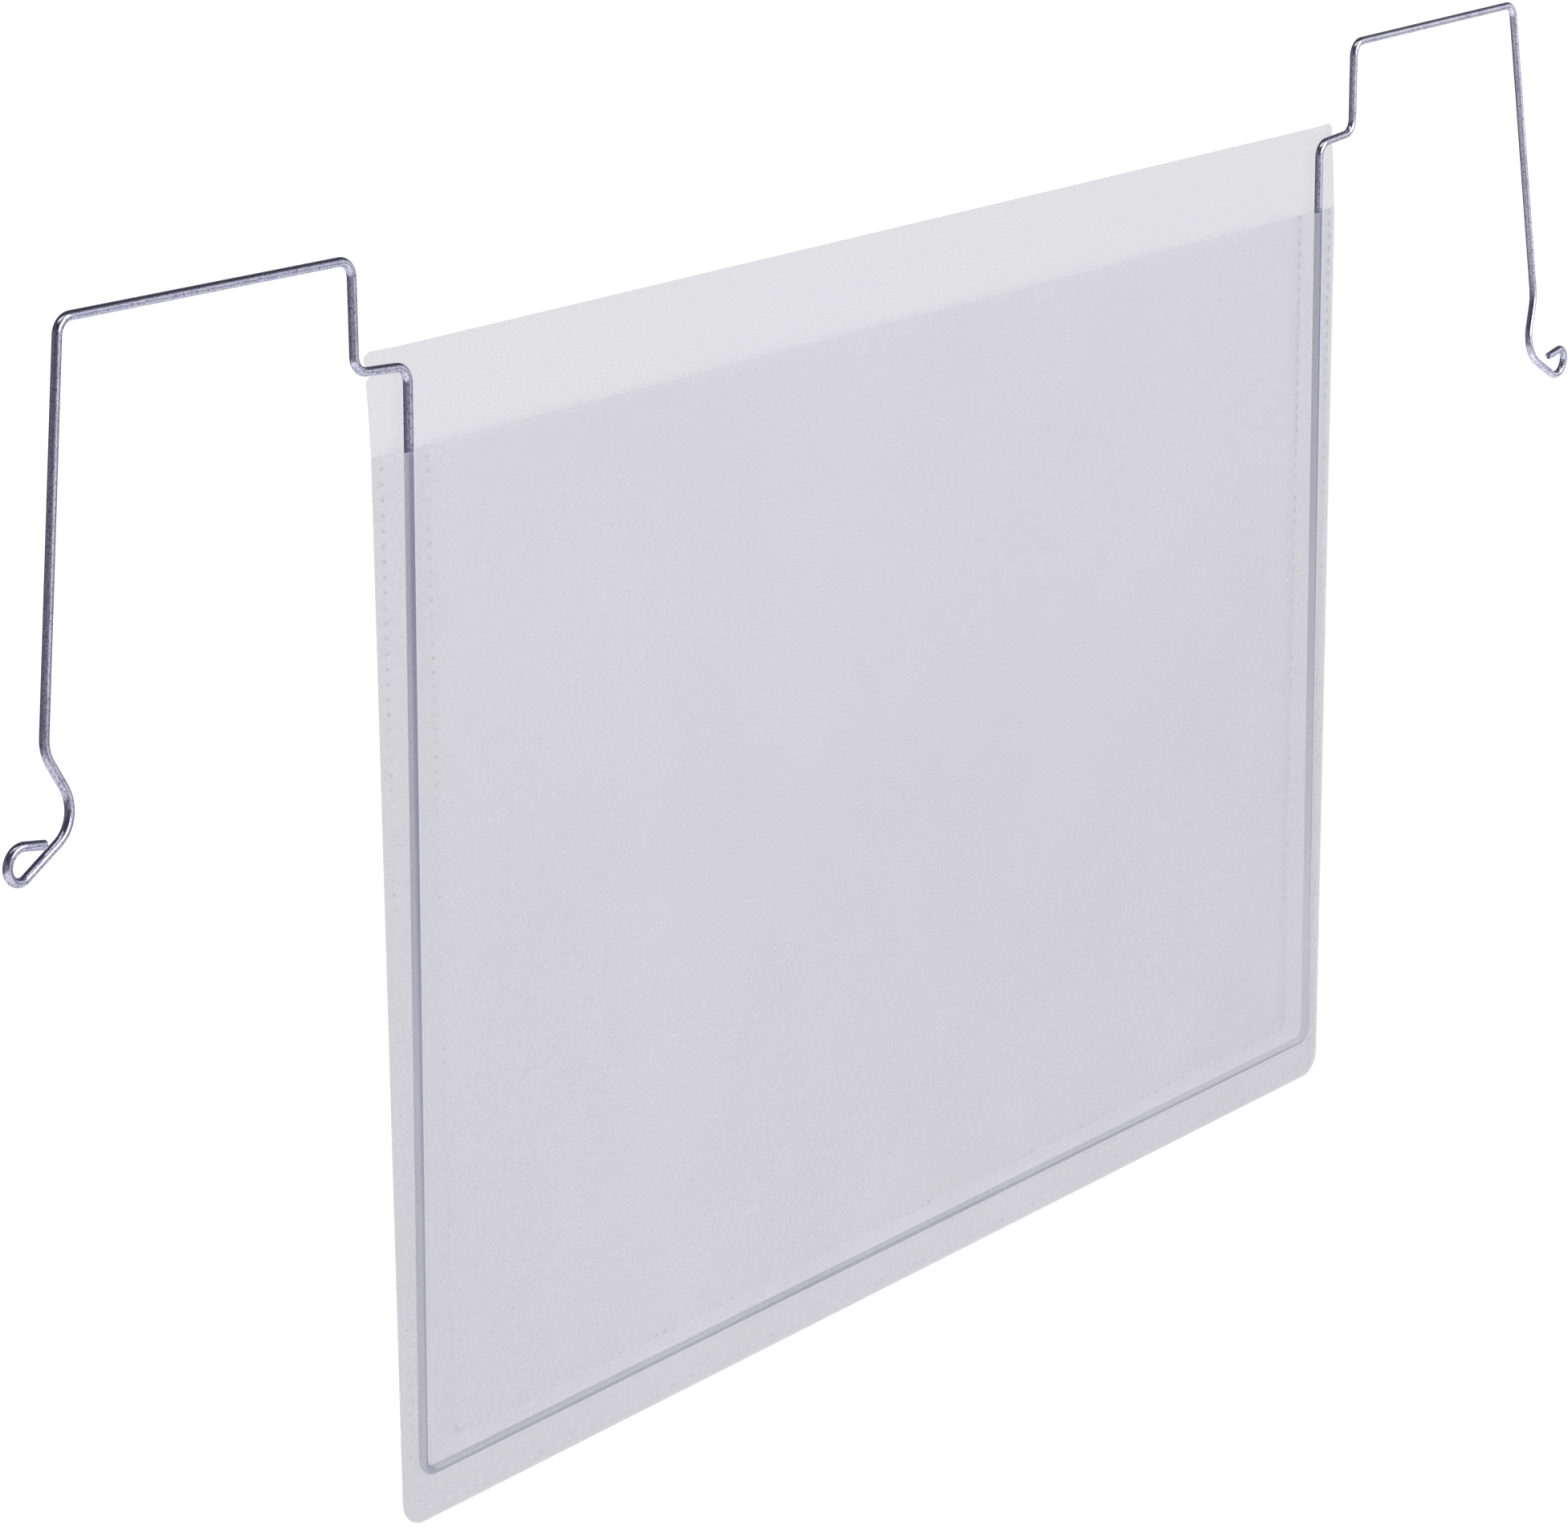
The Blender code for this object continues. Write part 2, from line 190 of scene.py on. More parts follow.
wire = {
    "diameter": 0.0018,
    "sides": 24,
    "bendStep": math.radians(6),
    "runStep": 0.012,
    "hookSteps": 3,
    "sideX": 0.1618,  # centre of the wire beside the pocket, at its bottom
    "bottomZ": -0.23975,
    "setback": 0.0009,  # how far it leans back from the jog to the bottom of the pocket
    "bottomBend": 0.0031,
    "jogX": 0.1584,
    "jogZ": -0.02135,
    "jogRun": 0.0144,
    "jogLift": 0.0010,
    "bend": 0.0033,
    "rise": 0.0208,
    "armRun": 0.0736,
    "armLift": 0.0009,
    "legSplay": 0.0106,
    "legForward": 0.0026,
    "legDrop": 0.0733,
    "legBend": 0.0079,
    "kinkIn": 0.0064,
    "kinkForward": 0.0018,
    "kinkDrop": 0.0127,
    "kinkBend": 0.0071,
    "hookRun": 0.0155,
    "hookSlope": math.radians(29),
    "curlBend": 0.00325,
    "curlTurn": math.radians(219),
    "curlForward": 0.0010,
    "tail": 0.0049,
    "tipRounding": 0.0003,
    "tipSteps": 4,
    "uvPerMetre": 10,
    "drawnScale": (60.0, 6.0, 1.0),  # noise across and along the wire
    "speckScale": (16.0, 150.0, 1.0),
    "spotScale": 240.0,
    "coverHeights": (-0.036, -0.038),  # the front film's edge, above which the wire is bare
    "coverReach": (0.164, 0.168),  # from the middle, the most that the pocket covers
    "leftShadeEnds": (0.2, -0.2),  # painted shade: the bare wire gets darker from the right end to the left one
    "leftShadeMost": 0.38,
    "flankShadeLimits": (0.35, 0.9),
    "coveredSpecks": 0.8,
    "roughness": (0.09, 0.17),
    "dullRoughness": 0.08,
    "coveredRoughness": 0.22,
    "bumpStrength": 0.35,
    "bumpDepth": 0.00002,
    "colour": (0.66, 0.645, 0.77),
    "dullColour": (0.50, 0.485, 0.64),
    # dark pits, and also the painted shade that darkens the bare wire towards its left end
    "pitAndShadeColour": (0.20, 0.19, 0.29),
    "coveredMetal": 0.5,
    # painted shade: the covered wire darkens to this towards its flanks, and its pits take the same dark
    # colour
    "coveredShadeAndPitColour": (0.03, 0.03, 0.09),
    "coveredShadedColour": (0.055, 0.065, 0.22),  # under the film the plating keeps its blue cast, darkened as painted shade where the wire lies between the films
}


def hangerCorners():
    jogInner = Vector((wire["jogX"], 0, wire["jogZ"]))
    jogOuter = jogInner + Vector((wire["jogRun"], 0, wire["jogLift"]))
    riseTop = jogOuter + Vector((0, 0, wire["rise"]))
    armEnd = riseTop + Vector((wire["armRun"], 0, wire["armLift"]))
    legEnd = armEnd + Vector((wire["legSplay"], -wire["legForward"], -wire["legDrop"]))
    kink = legEnd + Vector((-wire["kinkIn"], -wire["kinkForward"], -wire["kinkDrop"]))
    return [jogInner, jogOuter, riseTop, armEnd, legEnd, kink]


def wireHalf():
    slope = wire["hookSlope"]
    along = Vector((math.cos(slope), 0, -math.sin(slope)))
    inward = Vector((math.sin(slope), 0, math.cos(slope)))
    bottomMiddle = Vector((0, wire["setback"], wire["bottomZ"]))
    corners = [bottomMiddle, bottomMiddle + Vector((wire["sideX"], 0, 0))] + hangerCorners()
    curlStart = corners[-1] + along * wire["hookRun"]
    corners.append(curlStart)
    bends = [wire["bottomBend"]] + [wire["bend"]] * 4 + [wire["legBend"], wire["kinkBend"]]
    line = [corners[0]]
    for before, corner, after, bend in zip(corners, corners[1:], corners[2:], bends):
        turn = math.pi - (before - corner).angle(after - corner)
        arc = cornerArc(before, corner, after, bend, max(3, round(turn / wire["bendStep"])))
        line += divided(line[-1], arc[0], max(1, round((arc[0] - line[-1]).length / wire["runStep"])))
        line += arc
    line += divided(line[-1], curlStart, wire["hookSteps"])
    centre = curlStart + inward * wire["curlBend"]
    count = round(wire["curlTurn"] / wire["bendStep"])
    for i in range(count + 1):
        spin = Matrix.Rotation(-wire["curlTurn"] * i / count, 3, "Y")
        line.append(centre + spin @ (curlStart - centre) - Vector((0, wire["curlForward"] * i / count, 0)))
    heading = Matrix.Rotation(-wire["curlTurn"], 3, "Y") @ along
    tip = line[-1] + heading * wire["tail"]
    return line, tip, heading


def makeWireMesh():
    radius = wire["diameter"] / 2
    half, tip, heading = wireHalf()
    pairs = [(point, 1.0) for point in half]
    for i in range(wire["tipSteps"] + 1):
        angle = math.pi / 2 * i / wire["tipSteps"]
        back = wire["tipRounding"] * (1 - math.sin(angle))
        drawnIn = wire["tipRounding"] * (1 - math.cos(angle))
        pairs.append((tip - heading * back, (radius - drawnIn) / radius))
    pairs = [(mirrored(point), share) for point, share in reversed(pairs[1:])] + pairs
    shape = bmesh.new()
    uvLayer = shape.loops.layers.uv.new("alongWire")
    rings, distances = [], []
    travelled, across = 0.0, None
    for i, (point, share) in enumerate(pairs):
        before = pairs[max(0, i - 1)][0]
        after = pairs[min(len(pairs) - 1, i + 1)][0]
        heading = (after - before).normalized()
        if across is None:
            across = heading.orthogonal()
        across = (across - heading * across.dot(heading)).normalized()
        upward = heading.cross(across)
        travelled += (point - before).length
        distances.append(travelled)
        ring = []
        for k in range(wire["sides"]):
            angle = 2 * math.pi * k / wire["sides"]
            spoke = across * math.cos(angle) + upward * math.sin(angle)
            ring.append(shape.verts.new(point + spoke * radius * share))
        rings.append(ring)
    for i in range(len(rings) - 1):
        for k in range(wire["sides"]):
            following = (k + 1) % wire["sides"]
            here, ahead = rings[i], rings[i + 1]
            face = shape.faces.new((here[k], here[following], ahead[following], ahead[k]))
            shares = ((k, i), (k + 1, i), (k + 1, i + 1), (k, i + 1))
            for loop, (turn, place) in zip(face.loops, shares):
                loop[uvLayer].uv = (turn / wire["sides"], distances[place] * wire["uvPerMetre"])
    shape.faces.new(reversed(rings[0]))
    shape.faces.new(rings[-1])
    return meshFrom("wireFrame", shape)


# Noise in the wire's own coordinates, stretched by the scale
def wireNoise(tree, scale, detail, roughness):
    place = addNode(tree, "ShaderNodeUVMap", uv_map="alongWire")
    stretch = addNode(tree, "ShaderNodeMapping")
    stretch.inputs["Scale"].default_value = scale
    texture = addNode(tree, "ShaderNodeTexNoise", Scale=1.0, Detail=detail, Roughness=roughness)
    tree.links.new(place.outputs["UV"], stretch.inputs["Vector"])
    tree.links.new(stretch.outputs["Vector"], texture.inputs["Vector"])
    return texture.outputs["Fac"]


def makeWireMaterial():
    material, tree, shader = newMaterial("bright drawn wire")
    coords = addNode(tree, "ShaderNodeTexCoord")
    drawn = wireNoise(tree, wire["drawnScale"], 3.0, 0.6)
    specks = wireNoise(tree, wire["speckScale"], 2.0, 0.7)
    spots = addNode(tree, "ShaderNodeTexNoise", Scale=wire["spotScale"], Detail=4.0, Roughness=0.6)
    tree.links.new(coords.outputs["Object"], spots.inputs["Vector"])
    dull = mapped(tree, spots.outputs["Fac"], 0.45, 0.68, 0.0, 1.0, True)
    pitted = mapped(tree, specks, 0.36, 0.48, 1.0, 0.0, True)
    # Where the pocket covers the wire
    split = addNode(tree, "ShaderNodeSeparateXYZ")
    tree.links.new(coords.outputs["Object"], split.inputs["Vector"])
    covered = mapped(tree, split.outputs["Z"], *wire["coverHeights"], 0.0, 1.0)
    fromMiddle = maths(tree, "ABSOLUTE", split.outputs["X"])
    covered = maths(tree, "MULTIPLY", covered, mapped(tree, fromMiddle, *wire["coverReach"], 1.0, 0.0))
    # Colours of the bare and the covered wire, with painted shade: darker to the left, and darker in the
    # pocket and at the covered wire's flanks
    bare = mixedColour(tree, dull, wire["colour"], wire["dullColour"])
    # Painted shade: towards the left end the bare wire takes on the dark pit colour
    leftShade = mapped(tree, split.outputs["X"], *wire["leftShadeEnds"], 0.0, wire["leftShadeMost"])
    bare = mixedColour(tree, maths(tree, "ADD", pitted, leftShade, clamp=True), bare, wire["pitAndShadeColour"])
    # Painted shade: under the film the wire darkens towards its flanks by the angle of view, and its pits
    # show dark
    facing = addNode(tree, "ShaderNodeLayerWeight")
    flankShadeAndPits = mapped(tree, facing.outputs["Facing"], *wire["flankShadeLimits"], 0.0, 1.0, True)
    flankShadeAndPits = maths(tree, "MAXIMUM", flankShadeAndPits, maths(tree, "MULTIPLY", pitted, wire["coveredSpecks"]))
    shadedCovered = mixedColour(tree, flankShadeAndPits, wire["coveredShadedColour"], wire["coveredShadeAndPitColour"])
    tree.links.new(mixedColour(tree, covered, bare, shadedCovered), shader.inputs["Base Color"])
    tree.links.new(mapped(tree, covered, 0.0, 1.0, 1.0, wire["coveredMetal"]), shader.inputs["Metallic"])
    # Gloss and relief
    roughness = mapped(tree, drawn, 0.3, 0.7, *wire["roughness"])
    roughness = maths(tree, "ADD", roughness, maths(tree, "MULTIPLY", dull, wire["dullRoughness"]))
    roughness = maths(tree, "ADD", roughness, maths(tree, "MULTIPLY", covered, wire["coveredRoughness"]))
    tree.links.new(roughness, shader.inputs["Roughness"])
    bump = addNode(tree, "ShaderNodeBump", Strength=wire["bumpStrength"], Distance=wire["bumpDepth"])
    tree.links.new(maths(tree, "ADD", drawn, specks), bump.inputs["Height"])
    tree.links.new(bump.outputs["Normal"], shader.inputs["Normal"])
    return material


wirePiece = addPiece("wireFrame", makeWireMesh(), "wire_frame")
wirePiece.data.materials.append(makeWireMaterial())
wirePiece.visible_diffuse = False
wirePiece.visible_shadow = False  # the milky film glows through, so the real one shows no shadow line
print("wire made:", len(wirePiece.data.polygons), "faces")


# Both films

film = {
    "halfWidth": 0.1675,
    "top": -0.01765,
    "bottom": -0.24965,
    "frontTop": -0.03715,
    "thickness": 0.0003,
    "cornerRadius": 0.0055,
    "cornerSteps": 10,
    "waveLength": 0.055,
    "outerSeam": 0.0023,
    "innerSeam": 0.0150,
    "seamWidth": 0.0012,
    "seamCorner": 0.0015,
    "wireInsetSide": 0.0057,  # of the wire, at the bottom of the pocket
    "wireInsetBottom": 0.0099,
    "wireReach": 0.0012,  # from the wire's centre line to the film's side that faces it
    "leastArc": math.radians(8),  # of the film round the wire, to either side
    "weldPitch": 0.0030,
    "weldShare": 0.66,  # of the pitch that is pressed
    "gridStep": 0.007,
    "tentSteps": 8,
    "slack": 0.3,  # the way from the wire to the inner seam where the film lies free again
    "slackTouch": 0.4,
    "touchLimits": (0.97, 0.80),
    "grainTint": (0.08, 0.78),
    "cloudTint": 0.14,
    "grainLimits": (0.3, 0.7),
    "markRoughness": 0.05,
    "bumpStrength": 0.2,
    "bumpDepth": 0.00002,
    "refraction": 1.49,
    "rimShade": 0.93,
    "rimRoughness": (0.30, 0.42),
    "sharpAngle": math.radians(50),
}


# Along a straight run every pitch is split in a pressed part and a gap
def weldSteps(start, end, pitches):
    points = []
    for i in range(pitches):
        points.append(start.lerp(end, i / pitches))
        points.append(start.lerp(end, (i + film["weldShare"]) / pitches))
    return points


# A line round three sides of a film with the same number of points for every inset
def pocketLine(top, topInset, sideInset, bottomInset, radius):
    right = film["halfWidth"] - sideInset
    bottom = film["bottom"] + bottomInset
    corners = [
        Vector((film["halfWidth"] - topInset, 0, top)),
        Vector((right, 0, bottom)),
        Vector((-right, 0, bottom)),
        Vector((topInset - film["halfWidth"], 0, top)),
    ]
    upward = round((top - film["bottom"]) / film["weldPitch"])
    across = round((film["halfWidth"] - film["innerSeam"] / 2) * 2 / film["weldPitch"])
    arcs = [cornerArc(*corners[i:i + 3], radius, film["cornerSteps"]) for i in (0, 1)]
    line = weldSteps(corners[0], arcs[0][0], upward) + arcs[0]
    line += weldSteps(arcs[0][-1], arcs[1][0], across)[1:] + arcs[1]
    return line + weldSteps(corners[3], arcs[1][-1], upward)[::-1]


def evenLine(top, inset, radius, level):
    return [Vector((point.x, level, point.z)) for point in pocketLine(top, inset, inset, inset, radius)]


# The wire's middle line: in front of the seams at the mouth, between the films at the bottom
def wireInPocket(top):
    jog, bottom = wire["jogZ"], film["bottom"] + film["wireInsetBottom"]
    jogInset = film["halfWidth"] - wire["jogX"]
    slant = (jogInset - film["wireInsetSide"]) / (jog - bottom)
    inset = film["wireInsetSide"] + slant * (top - bottom)
    line = pocketLine(top, inset, film["wireInsetSide"], film["wireInsetBottom"], wire["bottomBend"])
    lean = wire["setback"] / (jog - bottom)
    return [Vector((point.x, lean * (jog - point.z), point.z)) for point in line]


# The film's way round the wire, from the outer seam to the inner one: the side is -1 in front
def tentArc(outerSeam, wirePoint, innerSeam, side):
    reach = film["wireReach"]
    beyond = (wirePoint.y - outerSeam.y) * side
    stretches = []
    for seam in (outerSeam, innerSeam):
        across = Vector((seam.x - wirePoint.x, 0, seam.z - wirePoint.z))
        angle = math.acos(reach / math.hypot(beyond, across.length)) - math.atan2(beyond, across.length)
        stretches.append((across.normalized(), min(angle, math.pi / 2 - film["leastArc"])))
    (outward, outerAngle), (inward, innerAngle) = stretches
    points = []
    for i in range(film["tentSteps"] + 1):
        angle = math.pi - outerAngle + (innerAngle - math.pi + outerAngle) * i / film["tentSteps"]
        sideways = reach * math.cos(angle)
        direction = inward if sideways > 0 else outward
        lift = Vector((0, side * reach * math.sin(angle), 0))
        points.append(wirePoint + direction * abs(sideways) + lift)
    return points


# The side of a film that faces the wire, as lines from its edge in to the inner seam, each with
# the share to which the film touches the wire there
def filmLines(top, level, side):
    half = film["seamWidth"] / 2
    outer, inner, corner = film["outerSeam"], film["innerSeam"], film["seamCorner"]
    edge = evenLine(top, 0, film["cornerRadius"], level)
    outerA = evenLine(top, outer - half, film["cornerRadius"] - outer + half, level)
    outerB = evenLine(top, outer + half, film["cornerRadius"] - outer - half, level)
    innerA = evenLine(top, inner - half, corner + half * 2, level)
    tents = [tentArc(*places, side) for places in zip(outerB, wireInPocket(top), innerA)]
    tentLines = [list(line) for line in zip(*tents)]
    slack = [a.lerp(b, film["slack"]) for a, b in zip(tentLines[-1], innerA)]
    lines = [edge, outerA, outerB] + tentLines + [slack, innerA]
    return lines, [0, 0, 0] + [1] * len(tentLines) + [film["slackTouch"], 0]


def filmShape(lines, touches):
    shape = bmesh.new()
    touchLayer = shape.verts.layers.float.new("touch")
    rows = [[shape.verts.new(point) for point in line] for line in lines]
    for row, touch in zip(rows, touches):
        for vertex in row:
            vertex[touchLayer] = touch
    strips = []
    for outer, inner in zip(rows, rows[1:]):
        strips.append([
            shape.faces.new((outer[i], inner[i], inner[i + 1], outer[i + 1]))
            for i in range(len(outer) - 1)
        ])
    panel = shape.faces.new(rows[-1])
    bmesh.ops.recalc_face_normals(shape, faces=shape.faces[:])
    return shape, strips, panel


# The flat panel gets the slight waves that such film has
def wavePanel(shape, panel, top, seed, height):
    half = film["halfWidth"] - film["innerSeam"]
    columns = gridPlaces(-half, half)
    levels = gridPlaces(film["bottom"] + film["innerSeam"], top)
    faces = cutAcross(shape, [panel], [(x, 0, 0) for x in columns], (1, 0, 0))
    faces = cutAcross(shape, faces, [(0, 0, z) for z in levels], (0, 0, 1))
    for vertex in {vertex for face in faces for vertex in face.verts}:
        place = Vector((vertex.co.x, seed, vertex.co.z)) / film["waveLength"]
        vertex.co.y += noise.noise(place) * height


def gridPlaces(low, high):
    count = round((high - low) / film["gridStep"])
    return [low + (high - low) * i / count for i in range(1, count)]


def cutAcross(shape, faces, places, normal):
    live = set(faces)
    for place in places:
        geometry = list(live)
        geometry += list({edge for face in live for edge in face.edges})
        geometry += list({vert for face in live for vert in face.verts})
        result = bmesh.ops.bisect_plane(shape, geom=geometry, plane_co=place, plane_no=normal)
        live = {item for item in result["geom"] if isinstance(item, bmesh.types.BMFace)}
    return live


# How milky the film is: at the mouth, at the bottom, and the extra at the bottom right
def hazeLevel(tree, low, lowRight, levels):
    top, bottom, extra = levels
    level = maths(tree, "ADD", maths(tree, "MULTIPLY", low, bottom - top), top)
    return maths(tree, "ADD", level, maths(tree, "MULTIPLY", lowRight, extra))


def makeFilmMaterial(settings):
    material, tree, shader = newMaterial(settings["finish"])
    coords = addNode(tree, "ShaderNodeTexCoord")
    surface = placeGroup(tree, filmGroup)
    tree.links.new(coords.outputs["Object"], surface.inputs["Vector"])
    speckle = mapped(tree, surface.outputs["Grain"], *film["grainLimits"], *film["grainTint"])
    clouds = maths(tree, "MULTIPLY", surface.outputs["Clouds"], film["cloudTint"])
    tint = maths(tree, "ADD", speckle, clouds, clamp=True)
    colour = mixedColour(tree, tint, settings["darkColour"], settings["paleColour"])
    tree.links.new(colour, shader.inputs["Base Color"])
    split = addNode(tree, "ShaderNodeSeparateXYZ")
    tree.links.new(coords.outputs["Object"], split.inputs["Vector"])
    low = mapped(tree, split.outputs["Z"], film["frontTop"], film["bottom"], 0.0, 1.0, True)
    toRight = mapped(tree, split.outputs["X"], 0.0, film["halfWidth"], 0.0, 1.0, True)
    lowRight = maths(tree, "MULTIPLY", low, toRight)
    free = hazeLevel(tree, low, lowRight, settings["alpha"])
    touching = hazeLevel(tree, low, lowRight, settings["touchingAlpha"])
    touch = addNode(tree, "ShaderNodeAttribute", attribute_name="touch")
    lift = mapped(tree, touch.outputs["Fac"], *film["touchLimits"], 0.0, 1.0, True)
    added = maths(tree, "MULTIPLY", lift, maths(tree, "SUBTRACT", free, touching))
    haze = maths(tree, "ADD", touching, added)
    cloud = maths(tree, "MULTIPLY", surface.outputs["Clouds"], settings["alphaClouds"])
    alpha = maths(tree, "ADD", haze, cloud, clamp=True)
    tree.links.new(alpha, shader.inputs["Alpha"])
    rough = mapped(tree, surface.outputs["Grain"], *film["grainLimits"], *settings["roughness"])
    marks = maths(tree, "MULTIPLY", surface.outputs["Marks"], film["markRoughness"])
    tree.links.new(maths(tree, "ADD", rough, marks), shader.inputs["Roughness"])
    bump = addNode(tree, "ShaderNodeBump", Strength=film["bumpStrength"], Distance=film["bumpDepth"])
    tree.links.new(surface.outputs["Grain"], bump.inputs["Height"])
    tree.links.new(bump.outputs["Normal"], shader.inputs["Normal"])
    shader.inputs["IOR"].default_value = film["refraction"]
    return material


def makeRimMaterial(settings):
    material, tree, shader = newMaterial("cut edge of " + settings["finish"])
    coords = addNode(tree, "ShaderNodeTexCoord")
    surface = placeGroup(tree, filmGroup)
    tree.links.new(coords.outputs["Object"], surface.inputs["Vector"])
    colour = settings["rimColour"]
    darker = tuple(value * film["rimShade"] for value in colour)
    tree.links.new(mixedColour(tree, surface.outputs["Grain"], darker, colour), shader.inputs["Base Color"])
    rough = mapped(tree, surface.outputs["Grain"], *film["grainLimits"], *film["rimRoughness"])
    tree.links.new(rough, shader.inputs["Roughness"])
    shader.inputs["Alpha"].default_value = settings["rimAlpha"]
    return material


# Gives the sheet its thickness, cuts its corners and keeps its cut edges crisp
def thicken(piece, side, cutter=None):
    shell = piece.modifiers.new("film", "SOLIDIFY")
    shell.thickness = film["thickness"]
    shell.offset = 1.0 if piece.data.polygons[0].normal.y * side > 0 else -1.0
    shell.use_even_offset = True
    shell.material_offset_rim = 1
    if cutter:
        cut = piece.modifiers.new("cuts", "BOOLEAN")
        cut.operation = "DIFFERENCE"
        cut.solver = "EXACT"
        cut.material_mode = "INDEX"
        cut.object = cutter
    evaluated = piece.evaluated_get(bpy.context.evaluated_depsgraph_get())
    mesh = bpy.data.meshes.new_from_object(evaluated)
    piece.modifiers.clear()
    piece.data = mesh
    mesh.name = piece.name
    mesh.set_sharp_from_angle(angle=film["sharpAngle"])
    piece.visible_glossy = False


# The back film, with a notch for the wire in each side

backFilm = {
    "faceY": 0.0012,  # its side that faces the reader
    "topCutWidth": 0.0015,
    "topCutHeight": 0.0009,
    "notchDepth": 0.0026,
    "notchBelow": 0.0006,  # clear of the wire on its lower side
    "notchAbove": -0.0008,  # the tab reaches down behind the wire
    "notchBend": 0.00072,
    "notchLowerBend": 0.0016,
    "notchUpperBend": 0.0004,
    "flare": 0.0012,
    "flareStart": 0.0091,  # from the side edge
    "flareDrop": 0.0195,
    "overrun": 0.0005,
    "finish": "back film",
    "darkColour": (0.472, 0.461, 0.522),
    "paleColour": (0.638, 0.626, 0.692),
    "alpha": (0.42, 0.42, 0.0),
    "touchingAlpha": (0.42, 0.42, 0.0),
    "alphaClouds": 0.02,
    "roughness": (0.38, 0.52),
    "rimColour": (0.60, 0.59, 0.65),
    "rimAlpha": 0.42,
    "waveSeed": 3.7,
    "waveHeight": 0.00008,
}


# The outlines that are cut from its right side: the wire's notch and the slanted corner
def cornerCuts():
    half, top = film["halfWidth"], film["top"]
    wireAtEdge = wire["jogZ"] + wire["jogLift"] * (half - wire["jogX"]) / wire["jogRun"]
    notchTop = wireAtEdge + wire["diameter"] / 2 + backFilm["notchAbove"]
    notchBottom = wireAtEdge - wire["diameter"] / 2 - backFilm["notchBelow"]
    inner = half - backFilm["notchDepth"]
    corners = [
        (half, top, 0, 0),
        (half, notchTop, backFilm["notchUpperBend"], 4),
        (inner, notchTop, backFilm["notchBend"], 8),
        (inner, notchBottom, backFilm["notchBend"], 8),
        (half, notchBottom, backFilm["notchLowerBend"], 8),
        (half, film["bottom"], 0, 0),
    ]
    points = [Vector((x, 0, z)) for x, z, bend, steps in corners]
    notch = []
    for i in range(1, len(corners) - 1):
        notch += cornerArc(points[i - 1], points[i], points[i + 1], corners[i][2], corners[i][3])
    outside = half + backFilm["overrun"]
    notch += [Vector((outside, 0, notch[-1].z)), Vector((outside, 0, notch[0].z))]
    across, down = backFilm["topCutWidth"], backFilm["topCutHeight"]
    corner = [(half - across * 2, top + down), (half + across, top - down * 2), (half + across, top + down)]
    return [notch, [Vector((x, 0, z)) for x, z in corner]]


def makeCornerCutter():
    shape = bmesh.new()
    near = backFilm["faceY"] - backFilm["overrun"]
    depth = backFilm["flare"] + film["thickness"] + backFilm["overrun"] * 2
    for outline in cornerCuts():
        for points in (outline, [mirrored(point) for point in outline]):
            face = shape.faces.new([shape.verts.new((point.x, near, point.z)) for point in points])
            grown = bmesh.ops.extrude_face_region(shape, geom=[face])["geom"]
            moved = [item for item in grown if isinstance(item, bmesh.types.BMVert)]
            bmesh.ops.translate(shape, vec=(0, depth, 0), verts=moved)
    for face in shape.faces:
        face.material_index = 1
    cutter = bpy.data.objects.new("cornerCutter", meshFrom("cornerCutter", shape, False))
    bpy.context.scene.collection.objects.link(cutter)
    return cutter


def flareAt(point):
    outboard = max(0, abs(point.x) - film["halfWidth"] + backFilm["flareStart"]) / backFilm["flareStart"]
    height = max(0, point.z - film["top"] + backFilm["flareDrop"]) / backFilm["flareDrop"]
    return backFilm["flare"] * outboard ** 2 * height ** 1.5


def makeBackFilm():
    shape, strips, panel = filmShape(*filmLines(film["top"], backFilm["faceY"], 1))
    wavePanel(shape, panel, film["top"], backFilm["waveSeed"], backFilm["waveHeight"])
    for vertex in shape.verts:
        vertex.co.y += flareAt(vertex.co)
    mesh = meshFrom("backFilm", shape)
    piece = addPiece("backFilm", mesh, "back_sheet")
    mesh.materials.append(makeFilmMaterial(backFilm))
    mesh.materials.append(makeRimMaterial(backFilm))
    cutter = makeCornerCutter()
    thicken(piece, 1, cutter)
    bpy.data.objects.remove(cutter, do_unlink=True)
    return piece


backPiece = makeBackFilm()
print("back film made:", len(backPiece.data.polygons), "faces")


# The front film: drawn over the wire and welded round three sides

frontFilm = {
    "seamY": 0.00118,  # its rear side along the welds, against the back film
    "panelY": 0.0004,
    "panelStep": 0.0020,
    "weldDepth": 0.00006,
    "weldRim": 0.00018,
    "finish": "front film",
    "darkColour": (0.578, 0.570, 0.616),
    "paleColour": (0.802, 0.794, 0.842),
    "alpha": (0.30, 0.46, 0.10),
    "touchingAlpha": (0.14, 0.30, 0.0),  # where the film lies on the wire and shows it clearly
    "alphaClouds": 0.02,
    "roughness": (0.36, 0.50),
    "rimColour": (0.69, 0.68, 0.73),
    "rimAlpha": 0.3,
    "waveSeed": 9.1,
    "waveHeight": 0.00016,
    "highMark": (0.40, 0.39, 0.45),
    "lowMark": (0.78, 0.77, 0.82),
    "markHeights": (-0.06, -0.15),  # between which the marks get pale
    "markPatches": 120.0,
    "markUneven": 0.5,
    "markAlpha": 0.36,
    "markRoughness": 0.36,
    "markClear": 0.6,  # of the inner seam's inset, kept free of marks at the corners
}


